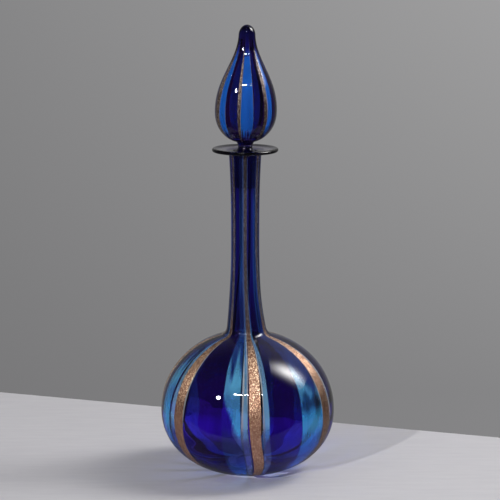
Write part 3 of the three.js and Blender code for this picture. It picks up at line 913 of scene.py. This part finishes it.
def paint_material(name):
    """Pale paint with a faint grain, of which shiny glass mirrors little."""
    made, tree, shader = material(name)
    shader.inputs["Roughness"].default_value = 0.6
    grain = noise(tree, stretched(tree, TABLE_GRAIN), TABLE_GRAIN_SCALE, detail=5.0)
    tree.links.new(ramped(tree, grain, TABLE_COLOURS), shader.inputs["Base Color"])
    path = node(tree, "ShaderNodeLightPath")
    mirrored = maths(tree, "SUBTRACT", TABLE_UNMIRRORED, path.outputs["Is Transmission Ray"])
    mirrored = maths(tree, "MULTIPLY", path.outputs["Is Glossy Ray"], mirrored)
    dark = node(tree, "ShaderNodeEmission", Strength=0.0)
    show(tree, mirrored, shader.outputs["BSDF"], dark.outputs["Emission"])
    return made


# Colours of the bands

def tip_at(tips, across):
    """The height of a jagged end at a share of the way across its band."""
    place_in = across * (len(tips) - 1)
    k = min(int(place_in), len(tips) - 2)
    return lerp(tips[k], tips[k + 1], place_in - k)


def haze_at(kind, z):
    """The haze of a band, less of it near the foot."""
    return HAZE[kind] * lerp(HAZE_AT_FOOT, 1, smooth(z, *HAZE_RISE))


def aqua_colour(unit, across, z):
    """Aqua glass with painted dark fingers from the neck and painted dark places, as seen through the glass.
    """
    # The fingers are painted: the bands of the bulb's far side as seen through the glass.
    deep = fade(z, tip_at(FINGERS[unit], across), FINGER_FADE)
    colour = blend(along(AQUA_AS_LIT, z), along(SEEN_THROUGH_AQUA, z), deep)
    # Painted dark places, as the far side and the shade under the bulb look through the glass.
    if unit in DARK_SEEN_THROUGH:
        tops, ends, stops = DARK_SEEN_THROUGH[unit]
        above_end = fade(z, tip_at(ends, across), DARK_SEEN_END_FADE)
        painted_dark = above_end * (1 - fade(z, tip_at(tops, across), DARK_SEEN_TOP_FADE))
        colour = blend(colour, along(stops, z), painted_dark)
        deep = max(deep, painted_dark)
    return (*colour, haze_at("aqua", z) * (1 - DEEP_HAZE_LOSS * deep))


def bottle_colour(zone, kind, unit, across, z):
    """Colour and haze of the bottle's glass."""
    if zone != "bands":
        return (*ZONE_COLOURS[zone], 0.0)
    if kind == "aqua":
        return aqua_colour(unit, across, z)
    # The band's colour, with its painted light and shade by height.
    colour = along(BAND_COLOURS[kind], z)
    # The painted caustic glow of the last unit's cobalt band.
    if kind == "cobalt" and unit == len(UNITS) - 1:
        lit = smooth(z, *PAINTED_CAUSTIC_STARTS) * (1 - smooth(z, *PAINTED_CAUSTIC_ENDS))
        colour = blend(colour, PAINTED_CAUSTIC, lit * max(1 - ((across - PAINTED_CAUSTIC_MIDDLE) / PAINTED_CAUSTIC_REACH) ** 2, 0))
    return (*colour, haze_at(kind, z))


def stopper_colour(zone, kind, unit, across, z):
    """Colour and haze of the stopper's glass."""
    if zone != "bands":
        return (*ZONE_COLOURS[zone], 0.0)
    tip = fade(z, FINIAL_SHOULDER_Z, TIP_FADE)
    stem = 1 - fade(z, FINIAL_BOTTOM_Z + lerp(*ROOT_REACH, chance(unit, across, 1)), ROOT_FADE)
    base = {"clear": FINIAL_CLEAR, "aqua": FINIAL_AQUA}.get(kind, FINIAL_COBALT)
    dyed, haze = tip, 0.0
    if kind == "aqua":
        base = blend(base, FINIAL_DEEP, fade(z, FINIAL_SHOULDER_Z, AQUA_FADE))
        dyed = tip * (1 - FINIAL_AQUA_LEFT)
    if kind in ("clear", "aqua"):
        haze = FINIAL_HAZE * (1 - max(tip, stem))
    return (*blend(blend(base, FINIAL_COBALT, stem), FINIAL_TIP, dyed), haze)


# The object

def numbered(name, count):
    """The names of all the solid bands of a kind."""
    return [f"{name}_{n}" for n in range(1, count + 1)]


def add_canes(name, node_name, outline, painted_lights, edges_at, body, proud, deep):
    """One ribbon for each unit, in place of the solid cane of the same number."""
    for unit, painted_light in enumerate(painted_lights):
        def edges(r, z):
            return edges_at(unit, r, z)[:2]

        cane = ribbon(f"{name}_{unit + 1}", outline, edges, proud, deep, painted_light)
        cane.data.materials.append(aventurine)
        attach(cane, body)
        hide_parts(f"{node_name}_{unit + 1}")


glass = glass_material("banded_glass")
aventurine = aventurine_material("aventurine_glass")

bottle_glass = grid("bottle_glass", bottle_rows(), UNITS, bottle_edges, bottle_colour)
bottle_glass.data.materials.append(glass)
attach(bottle_glass, "bottle")
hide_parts("bottle_gather", "lip_disc", *numbered("cobalt_band", len(UNITS)),
            *numbered("aqua_band", len(UNITS)))

stopper_glass = grid("stopper_glass", stopper_rows(), FINIAL_UNITS, finial_edges, stopper_colour)
stopper_glass.data.materials.append(glass)
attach(stopper_glass, "stopper")
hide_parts("stopper_plug", "finial_core", "finial_tip",
            *numbered("finial_cobalt_band", len(FINIAL_UNITS)),
            *numbered("finial_aqua_band", len(FINIAL_UNITS)))

cane_painted_lights = [FRONT_PAINTED_LIGHT, RIGHT_PAINTED_LIGHT, *[CANE_PAINTED_LIGHT] * (len(UNITS) - 3), LEFT_PAINTED_LIGHT]
add_canes("cane_ribbon", "aventurine_cane", bottle_outside(), cane_painted_lights, bottle_edges, "bottle",
          lambda z: CANE_PROUD, CANE_DEPTH)


def finial_cane_edges(unit, r, z):
    """The drawn-out point squeezes the canes to about half of their width."""
    edges = finial_edges(unit, r, z)
    middle = (edges[0] + edges[1]) / 2
    half = (edges[1] - edges[0]) / 2 * lerp(1, FINIAL_TAPER, fade(z, MOUTH_Z, FINIAL_TAPER_SPAN))
    return [middle - half, middle + half]


def finial_cane_proud(z):
    """How far the finial's canes stand out. On the point they end below the glass."""
    return lerp(FINIAL_CANE_PROUD, FINIAL_CANE_SUNK, fade(z, MOUTH_Z, FINIAL_SINK_SPAN))


cane_low_z, cane_high_z = (MOUTH_Z + rise for rise in FINIAL_CANE_SPAN)
finial_run = [p for p in finial_outside() if cane_low_z < p[1] < cane_high_z]
add_canes("finial_ribbon", "finial_aventurine_cane", finial_run, [FINIAL_PAINTED_LIGHT] * len(FINIAL_UNITS),
          finial_cane_edges, "stopper", finial_cane_proud, FINIAL_CANE_DEPTH)


# Table, light and camera

def table():
    """A table top with rounded ends, between a slanted far edge and a near edge."""
    ring = []
    for i in range(TABLE_POINTS):
        a = 2 * math.pi * i / TABLE_POINTS
        x, y = TABLE_RADIUS * math.cos(a), TABLE_RADIUS * math.sin(a)
        far, near = (middle + slope * x for middle, slope in (FAR_EDGE, NEAR_EDGE))
        ring.append((x, max(min(y, far), near)))
    verts = [(x, y, 0) for x, y in ring] + [(x, y, -TABLE_THICKNESS) for x, y in ring]
    n = len(ring)
    faces = [tuple(range(n)), tuple(reversed(range(n, 2 * n)))]
    faces += [(k, n + k, n + (k + 1) % n, (k + 1) % n) for k in range(n)]
    mesh = bpy.data.meshes.new("table_top")
    mesh.from_pydata(verts, [], faces)
    mesh.materials.append(paint_material("pale_paint"))
    add("table_top", mesh)


def toward(azimuth, elevation, distance):
    """A point seen from the bulb: azimuth from the front towards the right."""
    a, e = math.radians(azimuth), math.radians(elevation)
    return Vector((math.sin(a) * math.cos(e), -math.cos(a) * math.cos(e), math.sin(e))) * distance


def aimed(name, data, location, target):
    """An object with a lamp or a camera in it that looks at a point."""
    made = bpy.data.objects.new(name, data)
    made.location = location
    made.rotation_mode = "QUATERNION"
    made.rotation_quaternion = (target - made.location).to_track_quat("-Z", "Y")
    bpy.context.scene.collection.objects.link(made)
    return made


def lamp(name, azimuth, elevation, distance, size, watts, colour=(1, 1, 1), shape="RECTANGLE"):
    """An area lamp aimed at the bulb, seen neither straight nor through glass."""
    data = bpy.data.lights.new(name, "AREA")
    data.shape = shape
    data.size, data.size_y = size
    data.energy = watts
    data.color = colour
    made = aimed(name, data, LAMP_TARGET + toward(azimuth, elevation, distance), LAMP_TARGET)
    made.visible_camera = False
    made.visible_transmission = False
    return made


def soften(light, middle, reach, strength):
    """Makes an area lamp one bright spot that fades out. Middle and reach are shares of its sides."""
    light.data.use_nodes = True
    tree = light.data.node_tree
    where = parts(tree, node(tree, "ShaderNodeNewGeometry").outputs["Parametric"])
    squares = []
    for axis, centre, half in zip("XY", middle, reach):
        away = maths(tree, "DIVIDE", maths(tree, "SUBTRACT", where[axis], centre), half)
        squares.append(maths(tree, "POWER", away, 2.0))
    glow = maths(tree, "POWER", 0.5, maths(tree, "ADD", *squares))
    tree.links.new(maths(tree, "MULTIPLY", glow, strength), tree.nodes["Emission"].inputs["Strength"])


def studio():
    """A grey wall for what is seen straight or through glass, and a darker room for what is mirrored."""
    world = bpy.data.worlds.new("studio")
    world.use_nodes = True
    tree = world.node_tree
    where = node(tree, "ShaderNodeTexCoord").outputs["Generated"]
    level = parts(tree, where)
    across = ranged(tree, level["X"], WALL_ACROSS)
    low, high = (mixed(tree, across, left, right) for left, right in (WALL_LOW, WALL_HIGH))
    wall = mixed(tree, ranged(tree, level["Z"], WALL_UP), low, high)
    toward_glow = vectors(tree, "DOT_PRODUCT", where, toward(*ROOM_GLOW_FROM, 1))["Value"]
    glow = ranged(tree, toward_glow, (ROOM_GLOW_EDGE, 1.0), (0.0, ROOM_GLOW))
    glow = maths(tree, "POWER", glow, ROOM_GLOW_POWER)
    room = mixed(tree, 1.0, ramped(tree, level["Y"], ROOM), glow, "ADD")
    bent = ramped(tree, ranged(tree, level["Z"], (-1.0, 1.0)), BENT_VIEW)
    through = mixed(tree, 1.0, wall, bent, "MULTIPLY")
    path = node(tree, "ShaderNodeLightPath").outputs
    ambient = mixed(tree, path["Is Glossy Ray"], AMBIENT, room)
    unseen = mixed(tree, path["Is Transmission Ray"], ambient, through)
    seen = mixed(tree, path["Is Camera Ray"], unseen, wall)
    tree.links.new(seen, tree.nodes["Background"].inputs["Color"])
    bpy.context.scene.world = world


table()
studio()

window = lamp("window", azimuth=107, elevation=47, distance=1.9, size=(2.2, 1.5), watts=238,
              colour=WINDOW_COLOUR)
soften(window, middle=(0.37, 0.5), reach=(0.11, 0.29), strength=0.88)

# These only make highlights.
for shiny in (
    lamp("strip_light", azimuth=-15.5, elevation=38, distance=FAR, size=(0.9, 0.13), watts=26),
    lamp("strip_light_middle", azimuth=-1.5, elevation=38.3, distance=FAR, size=(0.55, 0.12), watts=14),
    lamp("strip_light_end", azimuth=23.5, elevation=37.5, distance=FAR, size=(0.16, 0.16), watts=6),
    lamp("round_lamp", azimuth=-45, elevation=29, distance=FAR, size=(0.34, 0.34), watts=95, shape="DISK"),
):
    shiny.visible_diffuse = False

# These make no highlights. The first casts the shadow on the table.
for dull in (
    lamp("side_lamp", azimuth=-30, elevation=20, distance=FAR, size=(0.08, 0.08), watts=130, shape="DISK"),
    lamp("fill", azimuth=-60, elevation=40, distance=2.2, size=(1.2, 1.0), watts=4),
):
    dull.visible_glossy = False

camera_data = bpy.data.cameras.new("camera")
camera_data.lens = 150
camera_data.sensor_width = 36
bpy.context.scene.camera = aimed("camera", camera_data, CAMERA_PLACE, CAMERA_TARGET)
bpy.context.scene.view_settings.view_transform = "Standard"
